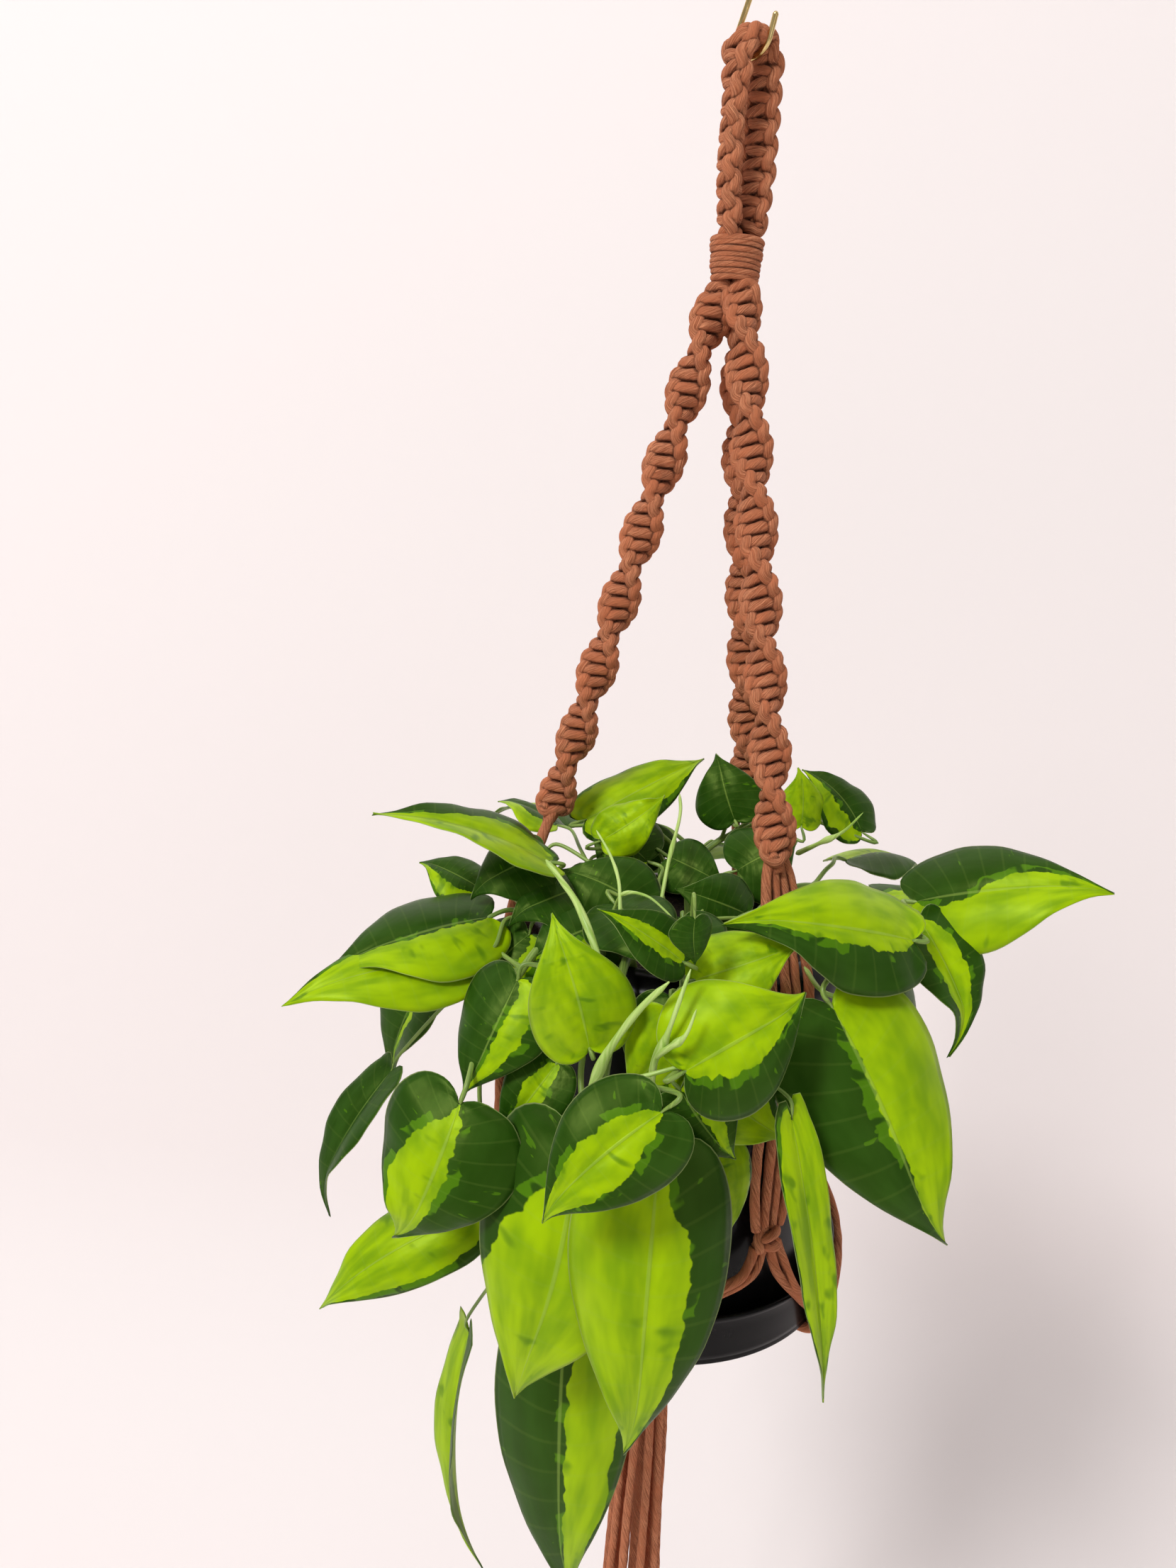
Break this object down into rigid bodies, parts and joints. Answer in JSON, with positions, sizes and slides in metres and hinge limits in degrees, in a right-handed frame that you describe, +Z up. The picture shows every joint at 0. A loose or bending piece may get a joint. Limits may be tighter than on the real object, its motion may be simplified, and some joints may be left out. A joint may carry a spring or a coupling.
{
  "type": "hanging macrame planter",
  "caption": "Knotted cotton cord plant hanger on an S-hook: folded strap, wrap, spiral arms, net round a black pot with saucer and trailing plant, and a fringe.",
  "frame": {"origin": "where the S-hook's upper bend rests on a rail: the top of the bend's inside", "axes": "+Z up; the front of the planter looks along -Y; +X to the right seen from the front"},
  "size_m": [0.324, 0.3057, 0.8474],
  "materials": {
    "brass": "polished wire",
    "cotton_cord": "soft twisted cotton, terracotta",
    "pot_plastic": "glossy black",
    "soil": "rough, damp compost",
    "stem": "smooth plant stem",
    "leaf": "satin leaf, dark green and lime"
  },
  "bodies": {
    "hook": {"s_hook": "brass"},
    "hanger": {"arm_front": "cotton_cord", "arm_left": "cotton_cord", "arm_rear": "cotton_cord", "base_knot_front": "cotton_cord", "base_knot_left": "cotton_cord", "base_knot_rear": "cotton_cord", "cradle_knot_front": "cotton_cord", "cradle_knot_left": "cotton_cord", "cradle_knot_rear": "cotton_cord", "gathered_cords_lower": "cotton_cord", "gathered_cords_upper": "cotton_cord", "loop_sennit": "cotton_cord", "lower_wrap_knot": "cotton_cord", "net_cords_front": "cotton_cord", "net_cords_left": "cotton_cord", "net_cords_rear": "cotton_cord", "side_cords_front": "cotton_cord", "side_cords_left": "cotton_cord", "side_cords_rear": "cotton_cord", "under_cords_front": "cotton_cord", "under_cords_left": "cotton_cord", "under_cords_rear": "cotton_cord", "upper_wrap_knot": "cotton_cord"},
    "planted_pot": {"pot": "pot_plastic", "saucer": "pot_plastic", "potting_soil": "soil", "vine_stem_crown": "stem", "vine_stem_front": "stem", "vine_stem_front_left": "stem", "vine_stem_front_right": "stem", "vine_stem_left_lower": "stem", "vine_stem_left_upper": "stem", "vine_stem_rear": "stem", "vine_stem_rear_right": "stem", "vine_stem_rear_top": "stem", "vine_stem_right": "stem", "leaves_crown": "leaf", "leaves_front": "leaf", "leaves_front_left": "leaf", "leaves_front_right": "leaf", "leaves_left_lower": "leaf", "leaves_left_upper": "leaf", "leaves_rear": "leaf", "leaves_rear_right": "leaf", "leaves_rear_top": "leaf", "leaves_right": "leaf"},
    "tassel": {"tassel_cord_01": "cotton_cord", "tassel_cord_02": "cotton_cord", "tassel_cord_03": "cotton_cord", "tassel_cord_04": "cotton_cord", "tassel_cord_05": "cotton_cord", "tassel_cord_06": "cotton_cord", "tassel_cord_07": "cotton_cord", "tassel_cord_08": "cotton_cord", "tassel_cord_09": "cotton_cord", "tassel_cord_10": "cotton_cord", "tassel_cord_11": "cotton_cord", "tassel_cord_12": "cotton_cord"}
  },
  "joints": [
    {"name": "hanger_swing", "type": "hinge", "parent": "hook", "child": "hanger", "pos_m": [0, 0, -0.0572], "axis": [0.766, -0.6428, 0], "range_deg": [-20, 20]},
    {"name": "pot_lift", "type": "slide", "parent": "hanger", "child": "planted_pot", "axis": [0, 0, 1], "range_m": [0, 0.003]},
    {"name": "tassel_swing", "type": "hinge", "parent": "hanger", "child": "tassel", "pos_m": [0, 0, -0.6093], "axis": [1, 0, 0], "range_deg": [-15, 15]}
  ]
}
